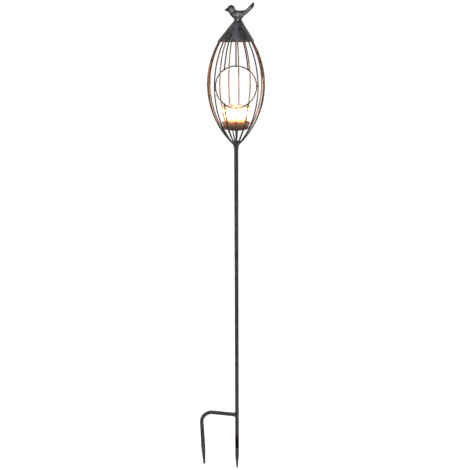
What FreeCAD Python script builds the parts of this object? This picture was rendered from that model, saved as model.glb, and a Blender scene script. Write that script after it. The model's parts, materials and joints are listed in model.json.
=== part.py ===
import FreeCAD, Part
import math
import os

from FreeCAD import Vector

# Garden candle-lantern stake, in millimetres.
# The origin is the point where the stake's axis meets the ground, +Z up.
# The round opening of the cage faces -Y, and the bird looks towards -X.

# --- driving dimensions -------------------------------------------------

# Stake
ROD_R = 5.0
TIP_Z = -150.0
TIP_R = 2.2
TIP_ROUND = 1.2
SPIKE_TAPER_TOP_Z = -112.0
SPIKE_TOP_Z = -61.0
SPIKE_CHAMFER = 0.5
SPIKE_WELD_R = 0.6
SPIKE_WELD_PROUD = 0.1

# Fork, the bent side tine that is stepped on
FORK_AZIMUTH = 169.0
FORK_REACH = 95.0
FORK_ARM_Z = 8.4
FORK_BEND_R = 31.0
FORK_R = 5.0
FORK_LEAN = 2.3
FORK_TAPER_Z = -98.0
FORK_TAPER_R = 5.7
FORK_TIP_Z = -148.5
FORK_TIP_R = 2.8
FORK_WELD_R = 2.2

# Cage: each wire is one arc in an upright plane through the axis
WIRE_R = 1.5
# where each wire stands, in degrees from the front middle wire towards +X; bent by hand, so not quite even
WIRE_SPREAD = [0, 26, 49, 71, 93, 114, 149, 174, 195, 216, 248, 267, 289, 312, 335]
WIRE_COUNT = len(WIRE_SPREAD)
CUT_WIRES = 1
SIDE_WIRES = 2
POD_R = 64.9
POD_Z = 858.0
POD_ARC_R = 187.0
WIRE_FOOT_Z = 725.0
WIRE_TOP_Z = 959.0

# Opening ring, a circle seen from the front that follows the cage's surface
RING_Z = 860.0
RING_R = 45.6
RING_POINTS = 8
RING_BEAD_R = 2.3
SIDE_BEAD_R = 1.3
COPE_GAP = 0.1

# Neck
ROD_TOP_Z = 724.0
ROD_TOP_CHAMFER = 1.0
NECK_OUTLINE = [(5.0, 709.0), (5.5, 713.0), (6.1, 717.5), (7.6, 721.5), (10.6, 725.5), (12.8, 728.2)]
NECK_INSIDE = [(9.5, 728.5), (5.5, 726.5), (0.0, 726.5)]

# Cap
CAP_BASE_Z = 955.5
CAP_TOP_Z = 999.0
CAP_BASE_R = 41.7
CAP_LEAN = 4.6
CAP_TOP_R = 9.8
CAP_SHEET = 1.2
SEAM_R = 1.1
CAP_BEAD_R = 2.4

# Bird, with places given as (x, height above the cap's top)
BIRD_FOOT_R = 8.6
BIRD_FOOT_FLARE = 0.6
BIRD_FOOT_HEIGHT = 9.0
BIRD_SPIGOT_R = 7.2
BIRD_SPIGOT_DEPTH = 4.0
BODY_AT, BODY_LEAN, BODY_SIZE = (-2.0, 15.5), (-1, 0.16), (18.0, 8.6)
CHEST_AT, CHEST_LEAN, CHEST_SIZE = (-10.5, 17.5), (-0.8, 1), (10.0, 8.0)
HEAD_AT, HEAD_R = (-15.0, 26.5), 8.0
BEAK_AT, BEAK_LEAN, BEAK_LENGTH, BEAK_ENDS = (-19.4, 25.66), (-1, -0.19), 10.5, (6.5, 0.8)
TAIL_AT, TAIL_LEAN = (7.6, 9.2), (1, 1)
# sections of the tail as (distance along both axes, thickness, width)
TAIL_SECTIONS = [(0.0, 9.6, 10.0), (11.0, 8.6, 7.6), (27.2, 8.2, 10.0)]
TAIL_CORNERS = 16
FINIAL_WELD_R = 1.2
FINIAL_WELD_OFFSET = 0.2

# Dish
STEM_R = 2.0
DISH_FLOOR_Z = 758.0
DISH_SHEET = 1.0
# wall of the dish as (radius, height above the underside), outside then inside
DISH_OUTSIDE = [(26.6, 0.0), (28.6, 2.0), (31.9, 14.0)]
DISH_INSIDE = [(30.9, 14.0), (27.6, 3.0), (26.6, 1.0)]
DISH_ROLL_R = 1.5
DISH_WELD_R = 1.6

# Glass cup
GLASS_BASE = 5.0
GLASS_FOOT_R = 23.1
GLASS_WELL_R = 20.2
# wall of the cup as (radius, height above its foot), upwards outside, over the lip, downwards inside
GLASS_OUTSIDE = [(24.6, 1.5), (25.4, 20.0), (28.6, 34.0), (35.3, 49.5)]
GLASS_LIP = (34.5, 50.5)
GLASS_INSIDE = [(33.4, 49.9), (26.4, 34.0), (23.1, 20.0), (22.2, 7.0)]

# Tealight
TIN_R = 19.0
TIN_HEIGHT = 16.0
TIN_SHEET = 0.4
TIN_BEAD = 0.5
TIN_BEAD_DEPTH = 0.8
WAX_HEIGHT = 13.2
WAX_DIP = 1.2
# halfway point of the hollowed top, as shares of the radius and of the dip
WAX_BOW = (0.6, 0.8)
WICK_R = 0.9
WICK_HEIGHT = 21.0
TAB_R = 6.0
TAB_THICK = 0.4
TAB_NECK = 3.0

UP = Vector(0, 0, 1)
ORIGIN = Vector(0, 0, 0)


# --- helpers ------------------------------------------------------------

def spin(shape, degrees):
    """A copy of the shape turned about the stake's axis."""
    turned = shape.copy()
    turned.rotate(ORIGIN, UP, degrees)
    return turned


def lathe(edges):
    """A solid of revolution about the stake's axis, from a closed outline in the XZ plane."""
    return Part.Face(Part.Wire(edges)).revolve(ORIGIN, UP, 360)


def outline(points):
    """Straight edges through (radius, height) points, closed."""
    corners = [Vector(r, 0, z) for r, z in points]
    return Part.makePolygon(corners + corners[:1]).Edges


def rod(start, end, radius):
    """A round bar between two points."""
    along = end - start
    return Part.makeCylinder(radius, along.Length, start, along)


def spike(start, end, start_r, end_r):
    """A tapered round bar between two points."""
    along = end - start
    return Part.makeCone(start_r, end_r, along.Length, start, along)


def biggest(shape):
    """The largest solid of a cut shape, which drops crumbs left beyond a thin wall."""
    return max(shape.Solids, key=lambda solid: solid.Volume)


def place(spot, base_z=0.0):
    """A point or direction in the XZ plane from an (x, height) pair."""
    return Vector(spot[0], 0, base_z + spot[1])


def facing(azimuth):
    """The level direction at an azimuth."""
    angle = math.radians(azimuth)
    return Vector(math.cos(angle), math.sin(angle), 0)


def pod_radius(z):
    """Distance of the wire's centre line from the axis at height z."""
    return POD_R - POD_ARC_R + math.sqrt(POD_ARC_R ** 2 - (z - POD_Z) ** 2)


def pod_point(azimuth, z):
    """A point on a wire's centre line."""
    return facing(azimuth) * pod_radius(z) + Vector(0, 0, z)


def wire_azimuth(index):
    """Direction of wire number index, counted from the front middle wire towards +X."""
    return -90.0 + WIRE_SPREAD[index]


def bowed_wire(index, low_z, high_z):
    """Part of a bowed wire, from one height to another."""
    hub = Vector(POD_R - POD_ARC_R, 0, POD_Z)
    low = math.asin((low_z - POD_Z) / POD_ARC_R)
    high = math.asin((high_z - POD_Z) / POD_ARC_R)
    start = hub + Vector(POD_ARC_R * math.cos(low), 0, POD_ARC_R * math.sin(low))
    along = Vector(-math.sin(low), 0, math.cos(low))
    section = Part.Face(Part.Wire(Part.makeCircle(WIRE_R, start, along)))
    bow = section.revolve(hub, Vector(0, -1, 0), math.degrees(high - low))
    return spin(bow, wire_azimuth(index))


def ring_point(turn):
    """A point on the opening ring's centre line, with turn measured from +X towards +Z."""
    x = RING_R * math.cos(turn)
    z = RING_Z + RING_R * math.sin(turn)
    return Vector(x, -math.sqrt(pod_radius(z) ** 2 - x ** 2), z)


# --- stake --------------------------------------------------------------

def make_ground_spike():
    low, top = TIP_Z, SPIKE_TOP_Z
    points = [
        (0, low),
        (TIP_R - TIP_ROUND, low),
        (TIP_R, low + TIP_ROUND),
        (ROD_R, SPIKE_TAPER_TOP_Z),
        (ROD_R, top - SPIKE_CHAMFER),
        (ROD_R - SPIKE_CHAMFER, top),
        (0, top),
    ]
    return lathe(outline(points))


def make_stake_rod():
    low, top = SPIKE_TOP_Z, ROD_TOP_Z
    points = [
        (0, low),
        (ROD_R - SPIKE_CHAMFER, low),
        (ROD_R, low + SPIKE_CHAMFER),
        (ROD_R, top - ROD_TOP_CHAMFER),
        (ROD_R - ROD_TOP_CHAMFER, top),
        (0, top),
    ]
    return lathe(outline(points))


def make_spike_weld(neighbours):
    middle_r = ROD_R + SPIKE_WELD_PROUD - SPIKE_WELD_R
    bead = Part.makeTorus(middle_r, SPIKE_WELD_R, Vector(0, 0, SPIKE_TOP_Z), UP)
    return bead.cut(neighbours)


def make_fork_tine(stake):
    lean = math.radians(FORK_LEAN)
    arm_start = Vector(0, 0, FORK_ARM_Z)
    bend_start = Vector(FORK_REACH - FORK_BEND_R, 0, FORK_ARM_Z)
    hub = bend_start - Vector(0, 0, FORK_BEND_R)
    turn = math.radians(90) + lean
    bend_end = hub + Vector(math.sin(turn), 0, math.cos(turn)) * FORK_BEND_R
    down = Vector(math.cos(turn), 0, -math.sin(turn))
    taper = bend_end + down * ((bend_end.z - FORK_TAPER_Z) / -down.z)
    tip = bend_end + down * ((bend_end.z - FORK_TIP_Z) / -down.z)
    section = Part.Face(Part.Wire(Part.makeCircle(FORK_R, bend_start, Vector(1, 0, 0))))
    bend = section.revolve(hub, Vector(0, 1, 0), math.degrees(turn))
    pieces = [bend, spike(bend_end, taper, FORK_R, FORK_TAPER_R), spike(taper, tip, FORK_TAPER_R, FORK_TIP_R)]
    fork = rod(arm_start, bend_start, FORK_R).fuse(pieces).removeSplitter()
    return biggest(spin(fork, FORK_AZIMUTH).cut(stake))


def make_fork_weld(neighbours):
    along = facing(FORK_AZIMUTH)
    middle = Vector(0, 0, FORK_ARM_Z) + along * (ROD_R + FORK_WELD_R / 4)
    bead = Part.makeTorus(FORK_R, FORK_WELD_R, middle, along)
    return biggest(bead.cut(neighbours))


# --- cage ---------------------------------------------------------------

def ring_heading(turn):
    """Direction of the ring's centre line."""
    return (ring_point(turn + 0.001) - ring_point(turn - 0.001)).normalize()


def bent_bar(start, heading, end, radius):
    """The wall of a bar that leaves start along heading and bends in one arc to end, and its last heading."""
    chord = end - start
    axis = heading.cross(chord).normalize()
    half_turn = heading.getAngle(chord)
    hub = start + axis.cross(heading) * (chord.Length / 2 / math.sin(half_turn))
    section = Part.Wire(Part.makeCircle(radius, start, heading))
    wall = section.revolve(hub, axis, math.degrees(2 * half_turn))
    return wall.Faces, FreeCAD.Rotation(axis, math.degrees(2 * half_turn)).multVec(heading)


def make_opening_ring(radius=WIRE_R):
    """Pairs of tangent arcs between points of the ring's centre line, closed into one loop."""
    walls = []
    for k in range(RING_POINTS):
        turn, next_turn = math.tau * k / RING_POINTS, math.tau * (k + 1) / RING_POINTS
        start, end = ring_point(turn), ring_point(next_turn)
        leave, arrive = ring_heading(turn), ring_heading(next_turn)
        chord = end - start
        spare = 2 * (1 - leave.dot(arrive))
        pull = chord.dot(leave + arrive)
        reach = (math.sqrt(pull ** 2 + spare * chord.dot(chord)) - pull) / spare
        middle = (start + leave * reach + end - arrive * reach) / 2
        first, heading = bent_bar(start, leave, middle, radius)
        second, _ = bent_bar(middle, heading, end, radius)
        walls += first + second
    shell = Part.makeShell(walls)
    shell.sewShape()
    return Part.makeSolid(shell)


def ring_crossing(index, upper):
    """Where a short wire meets the ring, above or below the ring's middle."""
    from_front = (WIRE_SPREAD[index] + 180) % 360 - 180
    low, high = 0.0, math.pi / 2
    for _ in range(40):
        turn = (low + high) / 2
        point = ring_point(turn)
        spread = math.degrees(math.atan2(point.x, -point.y))
        low, high = (turn, high) if spread > abs(from_front) else (low, turn)
    turn = low if from_front >= 0 else math.pi - low
    return ring_point(turn if upper else -turn)


def make_short_wires():
    """The front wires that the opening interrupts, as {name: solid}, coped to sit against the ring."""
    cope = make_opening_ring(WIRE_R + COPE_GAP)
    wires = {}
    for index, side in ((-1, "left"), (0, "middle"), (1, "right")):
        upper_end = ring_crossing(index, True).z
        lower_end = ring_crossing(index, False).z
        wires["upper_wire_" + side] = biggest(bowed_wire(index, upper_end, WIRE_TOP_Z).cut(cope))
        wires["lower_wire_" + side] = biggest(bowed_wire(index, WIRE_FOOT_Z, lower_end).cut(cope))
    return wires


def make_full_wires():
    """The wires that run from the neck to the cap, as {name: solid}."""
    first, last = SIDE_WIRES, WIRE_COUNT - SIDE_WIRES
    wires = {}
    for index in range(first, last + 1):
        wires["cage_wire_%d" % (index - CUT_WIRES)] = bowed_wire(index, WIRE_FOOT_Z, WIRE_TOP_Z)
    return wires


def make_ring_welds(neighbours):
    """Small beads where the interrupted wires end on the ring and where it touches its neighbours."""
    beads = []
    for index in range(-CUT_WIRES, CUT_WIRES + 1):
        for upper in (True, False):
            bead = Part.makeSphere(RING_BEAD_R, ring_crossing(index, upper)).cut(neighbours)
            beads.append(biggest(bead))
    for index, turn in ((SIDE_WIRES, 0), (-SIDE_WIRES, math.pi)):
        bridge = rod(ring_point(turn), pod_point(wire_azimuth(index), RING_Z), SIDE_BEAD_R)
        beads.append(biggest(bridge.cut(neighbours)))
    return Part.makeCompound(beads)


def make_neck_weld(neighbours):
    lump = lathe(outline(NECK_OUTLINE + NECK_INSIDE + [(0.0, NECK_OUTLINE[0][1])]))
    return biggest(lump.cut(neighbours))


# --- roof ---------------------------------------------------------------

def cap_inset():
    """Level distance between the faces of the cap's sloping sheet."""
    slope = (CAP_BASE_R - CAP_TOP_R) / (CAP_TOP_Z - CAP_BASE_Z)
    return CAP_SHEET * math.hypot(1, slope)


def cap_block(inset):
    """The leaning cone inside the cap, smaller than its outside by a level distance."""
    base = Part.Wire(Part.makeCircle(CAP_BASE_R - inset, Vector(0, 0, CAP_BASE_Z), UP))
    top = Part.Wire(Part.makeCircle(CAP_TOP_R - inset, Vector(CAP_LEAN, 0, CAP_TOP_Z), UP))
    return Part.makeLoft([base, top], True, True)


def make_cap_cone():
    return biggest(cap_block(0).cut(cap_block(cap_inset())))


def make_cap_seam(cap):
    low = Vector(0, CAP_BASE_R, CAP_BASE_Z)
    high = Vector(CAP_LEAN, CAP_TOP_R, CAP_TOP_Z)
    return biggest(rod(low, high, SEAM_R).cut([cap, cap_block(cap_inset() / 2)]))


def make_cap_welds(neighbours):
    """A bead inside the cone at the end of each wire."""
    core = cap_block(cap_inset() / 2)
    beads = []
    for index in range(WIRE_COUNT):
        spot = pod_point(wire_azimuth(index), WIRE_TOP_Z)
        sideways = UP.cross(facing(wire_azimuth(index)))
        bead = Part.makeSphere(CAP_BEAD_R, spot, sideways).common(core).cut(neighbours)
        beads.append(biggest(bead))
    return Part.makeCompound(beads)


def ellipsoid(middle, along, long_r, wide_r):
    """A solid ellipsoid, round about its long axis."""
    along = Vector(along).normalize()
    arc = Part.Arc(Part.Ellipse(ORIGIN, long_r, wide_r), 0, math.pi).toShape()
    base = Part.makeLine(Vector(-long_r, 0, 0), Vector(long_r, 0, 0))
    solid = Part.Face(Part.Wire([arc, base])).revolve(ORIGIN, Vector(1, 0, 0), 360)
    solid.Placement = FreeCAD.Placement(middle, FreeCAD.Rotation(Vector(1, 0, 0), along))
    return solid


def flat_section(middle, along, thick, wide):
    """A closed oval outline across the tail, thick in the bird's own plane and wide along Y."""
    side = Vector(0, 1, 0)
    up = side.cross(Vector(along).normalize())
    corners = []
    for k in range(TAIL_CORNERS):
        turn = math.tau * k / TAIL_CORNERS
        corners.append(middle + side * (wide * math.cos(turn) / 2) + up * (thick * math.sin(turn) / 2))
    curve = Part.BSplineCurve()
    curve.interpolate(Points=corners, PeriodicFlag=True)
    return Part.Wire(curve.toShape())


def make_tail():
    root, along = place(TAIL_AT, CAP_TOP_Z), place(TAIL_LEAN)
    sections = [flat_section(root + along * reach, along, thick, wide) for reach, thick, wide in TAIL_SECTIONS]
    return Part.makeLoft(sections, True, False)


def make_bird_finial():
    base = CAP_TOP_Z
    spigot = Part.makeCylinder(BIRD_SPIGOT_R, BIRD_SPIGOT_DEPTH, Vector(0, 0, base - BIRD_SPIGOT_DEPTH), UP)
    foot = Part.makeCone(BIRD_FOOT_R, BIRD_FOOT_R + BIRD_FOOT_FLARE, BIRD_FOOT_HEIGHT, Vector(0, 0, base), UP)
    body = ellipsoid(place(BODY_AT, base), place(BODY_LEAN), *BODY_SIZE)
    chest = ellipsoid(place(CHEST_AT, base), place(CHEST_LEAN), *CHEST_SIZE)
    head = Part.makeSphere(HEAD_R, place(HEAD_AT, base))
    beak = Part.makeCone(BEAK_ENDS[0], BEAK_ENDS[1], BEAK_LENGTH, place(BEAK_AT, base), place(BEAK_LEAN))
    bird = biggest(body.fuse([spigot, foot, chest, head, beak, make_tail()]))
    return bird.translated(Vector(CAP_LEAN, 0, 0))


def make_finial_weld(neighbours):
    bead = Part.makeTorus(BIRD_FOOT_R + FINIAL_WELD_OFFSET, FINIAL_WELD_R, Vector(CAP_LEAN, 0, CAP_TOP_Z), UP)
    return biggest(bead.cut(neighbours))


# --- candle holder ------------------------------------------------------

def make_dish_stem(rod_shape):
    stem = rod(Vector(0, 0, ROD_TOP_Z), Vector(0, 0, DISH_FLOOR_Z), STEM_R)
    return stem.cut(rod_shape)


def make_candle_dish():
    base = DISH_FLOOR_Z
    wall = [(r, base + h) for r, h in DISH_OUTSIDE + DISH_INSIDE]
    dish = lathe(outline([(0, base)] + wall + [(0, base + DISH_SHEET)]))
    rim_r, rim_h = DISH_OUTSIDE[-1]
    roll = Part.makeTorus(rim_r, DISH_ROLL_R, Vector(0, 0, base + rim_h), UP)
    return dish.fuse(roll).removeSplitter()


def make_dish_weld(neighbours):
    bead = Part.makeTorus(STEM_R, DISH_WELD_R, Vector(0, 0, DISH_FLOOR_Z), UP)
    depth = 2 * DISH_WELD_R
    below = Part.makeCylinder(depth + STEM_R, depth, Vector(0, 0, DISH_FLOOR_Z - depth), UP)
    return bead.common(below).cut(neighbours)


def glass_seat_z():
    return DISH_FLOOR_Z + DISH_SHEET


def make_glass_cup():
    low = glass_seat_z()
    outer = [place(spot, low) for spot in GLASS_OUTSIDE]
    inner = [place(spot, low) for spot in GLASS_INSIDE]
    outside = Part.BSplineCurve()
    outside.interpolate(outer)
    inside = Part.BSplineCurve()
    inside.interpolate(inner)
    foot, well = place((GLASS_FOOT_R, 0), low), place((GLASS_WELL_R, GLASS_BASE), low)
    centre_low, centre_high = place((0, 0), low), place((0, GLASS_BASE), low)
    edges = [
        Part.makeLine(centre_low, foot),
        Part.makeLine(foot, outer[0]),
        outside.toShape(),
        Part.Arc(outer[-1], place(GLASS_LIP, low), inner[0]).toShape(),
        inside.toShape(),
        Part.makeLine(inner[-1], well),
        Part.makeLine(well, centre_high),
        Part.makeLine(centre_high, centre_low),
    ]
    return lathe(edges)


def tealight_z():
    return glass_seat_z() + GLASS_BASE


def make_tealight_tin():
    low = tealight_z()
    high = low + TIN_HEIGHT
    points = [
        (0, low),
        (TIN_R, low),
        (TIN_R, high - TIN_BEAD_DEPTH),
        (TIN_R + TIN_BEAD, high - TIN_BEAD_DEPTH / 2),
        (TIN_R + TIN_BEAD, high),
        (TIN_R - TIN_SHEET, high),
        (TIN_R - TIN_SHEET, low + TIN_SHEET),
        (0, low + TIN_SHEET),
    ]
    return lathe(outline(points))


def make_wick_tab():
    low = tealight_z() + TIN_SHEET
    plate = Part.makeCylinder(TAB_R, TAB_THICK, Vector(0, 0, low), UP)
    neck = Part.makeCylinder(WICK_R + TAB_THICK, TAB_NECK, Vector(0, 0, low), UP)
    hole = Part.makeCylinder(WICK_R, TAB_NECK, Vector(0, 0, low), UP)
    return plate.fuse(neck).cut(hole)


def make_wick():
    low = tealight_z() + TIN_SHEET
    return Part.makeCylinder(WICK_R, WICK_HEIGHT - TIN_SHEET, Vector(0, 0, low), UP)


def make_tealight_wax(neighbours):
    low = tealight_z() + TIN_SHEET
    side = TIN_R - TIN_SHEET
    top = low + WAX_HEIGHT
    rim, hollow = Vector(side, 0, top), Vector(0, 0, top - WAX_DIP)
    bow = Vector(side * WAX_BOW[0], 0, top - WAX_DIP * WAX_BOW[1])
    edges = [
        Part.makeLine(Vector(0, 0, low), Vector(side, 0, low)),
        Part.makeLine(Vector(side, 0, low), rim),
        Part.Arc(rim, bow, hollow).toShape(),
        Part.makeLine(hollow, Vector(0, 0, low)),
    ]
    return biggest(lathe(edges).cut(neighbours))


# --- assembly -----------------------------------------------------------

def build():
    """Every sub-part, as {node name: shape}."""
    parts = {}
    parts["ground_spike"] = make_ground_spike()
    parts["stake_rod"] = make_stake_rod()
    stake = [parts["ground_spike"], parts["stake_rod"]]
    parts["spike_weld"] = make_spike_weld(stake)
    parts["fork_tine"] = make_fork_tine(parts["stake_rod"])
    parts["fork_weld"] = make_fork_weld([parts["stake_rod"], parts["fork_tine"]])

    ring = make_opening_ring()
    wires = dict(make_full_wires(), **make_short_wires())
    parts.update(wires)
    parts["opening_ring"] = ring
    parts["ring_welds"] = make_ring_welds([ring] + list(wires.values()))

    parts["cap_cone"] = make_cap_cone()
    parts["cap_seam"] = make_cap_seam(parts["cap_cone"])
    parts["cap_welds"] = make_cap_welds([parts["cap_cone"]] + list(wires.values()))
    parts["bird_finial"] = make_bird_finial()
    parts["finial_weld"] = make_finial_weld([parts[node] for node in ("cap_cone", "cap_seam", "bird_finial")])

    parts["dish_stem"] = make_dish_stem(parts["stake_rod"])
    parts["neck_weld"] = make_neck_weld([parts["stake_rod"], parts["dish_stem"]] + list(wires.values()))
    parts["candle_dish"] = make_candle_dish()
    parts["dish_weld"] = make_dish_weld([parts["dish_stem"], parts["candle_dish"]])

    parts["glass_cup"] = make_glass_cup()
    parts["tealight_tin"] = make_tealight_tin()
    parts["wick"] = make_wick()
    parts["wick_tab"] = make_wick_tab()
    parts["tealight_wax"] = make_tealight_wax([parts["wick"], parts["wick_tab"]])
    return parts


os.makedirs("parts", exist_ok=True)
for node, shape in build().items():
    if not shape.isValid():
        print("not valid:", node)
    shape.exportStep(os.path.join("parts", node + ".step"))
    print(node, len(shape.Solids), round(shape.Volume, 1))
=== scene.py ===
import json
import math

import bmesh
import bpy
from mathutils import Matrix, Vector, noise

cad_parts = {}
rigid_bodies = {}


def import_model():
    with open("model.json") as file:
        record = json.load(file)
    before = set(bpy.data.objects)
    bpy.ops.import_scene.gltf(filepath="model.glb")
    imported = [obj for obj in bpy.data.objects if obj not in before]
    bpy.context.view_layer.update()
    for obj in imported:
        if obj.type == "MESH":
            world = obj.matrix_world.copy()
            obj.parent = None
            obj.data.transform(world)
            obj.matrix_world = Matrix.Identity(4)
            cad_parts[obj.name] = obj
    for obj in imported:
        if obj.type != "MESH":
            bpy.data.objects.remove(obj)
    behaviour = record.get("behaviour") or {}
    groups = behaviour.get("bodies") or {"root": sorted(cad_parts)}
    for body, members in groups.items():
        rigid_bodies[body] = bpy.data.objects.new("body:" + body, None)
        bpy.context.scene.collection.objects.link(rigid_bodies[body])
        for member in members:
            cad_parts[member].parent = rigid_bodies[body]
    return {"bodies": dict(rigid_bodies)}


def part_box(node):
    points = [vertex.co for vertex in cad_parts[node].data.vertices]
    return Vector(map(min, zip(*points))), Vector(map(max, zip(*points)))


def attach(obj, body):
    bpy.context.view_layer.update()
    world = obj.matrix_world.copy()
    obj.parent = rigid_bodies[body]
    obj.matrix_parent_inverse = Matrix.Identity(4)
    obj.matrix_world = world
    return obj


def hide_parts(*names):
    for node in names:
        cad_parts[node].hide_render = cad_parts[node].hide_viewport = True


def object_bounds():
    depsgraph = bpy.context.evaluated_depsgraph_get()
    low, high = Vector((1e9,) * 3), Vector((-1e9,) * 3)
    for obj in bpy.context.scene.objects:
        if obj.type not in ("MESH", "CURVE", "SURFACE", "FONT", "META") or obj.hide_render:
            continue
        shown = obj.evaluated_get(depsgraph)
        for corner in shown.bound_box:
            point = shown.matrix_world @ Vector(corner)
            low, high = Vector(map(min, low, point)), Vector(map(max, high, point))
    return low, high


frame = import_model()
cad_low, cad_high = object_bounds()

# Garden candle-lantern stake, in metres. The origin is where the stake's axis meets the ground.
MM = 0.001

WIRE_R = 1.5 * MM
# where each wire stands, in degrees from the front middle wire towards +X
WIRE_SPREAD = (0, 26, 49, 71, 93, 114, 149, 174, 195, 216, 248, 267, 289, 312, 335)
WIRE_COUNT = len(WIRE_SPREAD)
FIRST_FULL_WIRE = 2
POD_Z = 0.858
POD_ARC_R = 0.187
FORK_AZIMUTH = math.radians(169.0)
FORK_LEAN = math.radians(2.3)
FORK_BEND_R = 31.0 * MM
CAP_SHEET = 1.2 * MM
CAMERA_SPOT = (-0.0035, -1.768, 1.0473)
CAMERA_TILT = math.radians(72.8)
CAMERA_ROLL = math.radians(-0.2)
CAMERA_LENS = 58.52
UP = Vector((0, 0, 1))


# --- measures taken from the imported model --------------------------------

def low_z(node):
    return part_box(node)[0].z


def high_z(node):
    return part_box(node)[1].z


def reach(node):
    """Largest distance of a node from the axis, along X."""
    low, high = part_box(node)
    return (high.x - low.x) / 2


ROD_R = reach("stake_rod")
POD_R = (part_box("cage_wire_6")[1].y - WIRE_R) / -math.cos(math.radians(WIRE_SPREAD[7]))
RING_R = reach("opening_ring") - WIRE_R
RING_Z = (low_z("opening_ring") + high_z("opening_ring")) / 2
CAP_BASE_Z, CAP_TOP_Z = low_z("cap_cone"), high_z("cap_cone")
CAP_BASE_R, CAP_TOP_R = reach("cap_cone"), 9.8 * MM
CAP_LEAN = 4.6 * MM
SEAT_Z = low_z("glass_cup")
CANDLE_Z = low_z("tealight_tin")
WICK_TOP_Z = high_z("wick")


# --- mesh helpers ---------------------------------------------------------

def wander(point, size, seed):
    """A smooth wavy number between -1 and 1 whose bumps are about size across."""
    return noise.noise(point / size + Vector((seed * 7.3, seed * 3.1, seed * 5.7)))


def dent(bm, depth, size, seed, where=None):
    """Moves every vertex a little along its normal, where may scale the depth by position."""
    bm.normal_update()
    moves = []
    for v in bm.verts:
        share = where(v.co) if where else 1.0
        moves.append(v.normal * (depth * share * wander(v.co, size, seed)))
    for v, move in zip(bm.verts, moves):
        v.co += move


def bridge(bm, first, second):
    """Quads between two loops of vertices, or triangles where one is a single point."""
    count = max(len(first), len(second))
    for k in range(count):
        n = (k + 1) % count
        if len(first) == 1:
            bm.faces.new((first[0], second[n], second[k]))
        elif len(second) == 1:
            bm.faces.new((first[k], first[n], second[0]))
        else:
            bm.faces.new((first[k], first[n], second[n], second[k]))


def add_lathe(bm, profile, steps=96, closed=False, flutes=None):
    """A surface of revolution through (radius, z) points. flutes(turn, r, z) returns a new radius."""
    loops = []
    for r, z in profile:
        if r < 1e-6:
            loops.append([bm.verts.new((0, 0, z))])
            continue
        loop = []
        for k in range(steps):
            turn = math.tau * k / steps
            radius = flutes(turn, r, z) if flutes else r
            loop.append(bm.verts.new((radius * math.cos(turn), radius * math.sin(turn), z)))
        loops.append(loop)
    for first, second in zip(loops, loops[1:]):
        bridge(bm, first, second)
    if closed:
        bridge(bm, loops[-1], loops[0])


def finer(profile, step):
    """The same outline with points no further apart than step."""
    points = [profile[0]]
    for (r0, z0), (r1, z1) in zip(profile, profile[1:]):
        parts = max(1, math.ceil(math.hypot(r1 - r0, z1 - z0) / step))
        for k in range(1, parts + 1):
            points.append((r0 + (r1 - r0) * k / parts, z0 + (z1 - z0) * k / parts))
    return points


def curved(points, parts=10):
    """A smooth outline through the points."""
    ends = [points[0]] + list(points) + [points[-1]]
    result = []
    for k in range(1, len(ends) - 2):
        a, b, c, d = (Vector(p) for p in ends[k - 1:k + 3])
        for step in range(parts):
            t = step / parts
            bend = (a * 2 - b * 5 + c * 4 - d) * t ** 2
            twist = (b * 3 - a - c * 3 + d) * t ** 3
            spot = (b * 2 + (c - a) * t + bend + twist) / 2
            result.append(tuple(spot))
    return result + [tuple(points[-1])]


def arc(middle, radius, start, end, parts):
    """(radius, z) points on a circular arc, angles in degrees from the outward direction."""
    points = []
    for k in range(parts + 1):
        turn = math.radians(start + (end - start) * k / parts)
        points.append((middle[0] + radius * math.cos(turn), middle[1] + radius * math.sin(turn)))
    return points


def add_tube(bm, path, radius, guide, sides=16, closed=False):
    """A round bar along a path, with radius(share) along it. The guide never runs along the path."""
    count = len(path)
    loops = []
    for k, spot in enumerate(path):
        before = path[(k - 1) % count] if closed or k else spot
        after = path[(k + 1) % count] if closed or k < count - 1 else spot
        along = (after - before).normalized()
        side = along.cross(guide(spot)).normalized()
        over = side.cross(along)
        r = radius(k / max(1, count - 1))
        loop = []
        for s in range(sides):
            turn = math.tau * s / sides
            loop.append(bm.verts.new(spot + side * (r * math.cos(turn)) + over * (r * math.sin(turn))))
        loops.append(loop)
    for first, second in zip(loops, loops[1:]):
        bridge(bm, first, second)
    if closed:
        bridge(bm, loops[-1], loops[0])
        return
    for loop, spot, near, r in (
        (loops[0], path[0], path[1], radius(0.0)),
        (loops[-1], path[-1], path[-2], radius(1.0)),
    ):
        out = (spot - near).normalized()
        dome = [bm.verts.new(spot + (v.co - spot) * 0.7 + out * (r * 0.4)) for v in loop]
        bridge(bm, loop, dome)
        bridge(bm, dome, [bm.verts.new(spot + out * (r * 0.55))])


def add_lump(bm, middle, radii, seed, axis=UP, rough=0.12):
    """A small uneven blob of weld metal, with its first radius along axis."""
    made = bmesh.ops.create_icosphere(bm, subdivisions=4, radius=1.0)["verts"]
    turn = Vector((1, 0, 0)).rotation_difference(axis).to_matrix()
    for v in made:
        swell = 1.0 + rough * wander(v.co, 0.7, seed) + rough * 0.5 * wander(v.co, 0.25, seed + 1)
        v.co = middle + turn @ Vector((v.co.x * radii[0], v.co.y * radii[1], v.co.z * radii[2])) * swell


def piece(name, bm, body, look, nodes=()):
    """Turns the mesh into a shown piece that rides on a body and stands for CAD nodes."""
    bmesh.ops.recalc_face_normals(bm, faces=bm.faces)
    mesh = bpy.data.meshes.new(name)
    bm.to_mesh(mesh)
    bm.free()
    for polygon in mesh.polygons:
        polygon.use_smooth = True
    mesh.materials.append(look)
    obj = bpy.data.objects.new(name, mesh)
    bpy.context.scene.collection.objects.link(obj)
    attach(obj, body)
    if nodes:
        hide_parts(*nodes)
    return obj


# --- materials ------------------------------------------------------------

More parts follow.
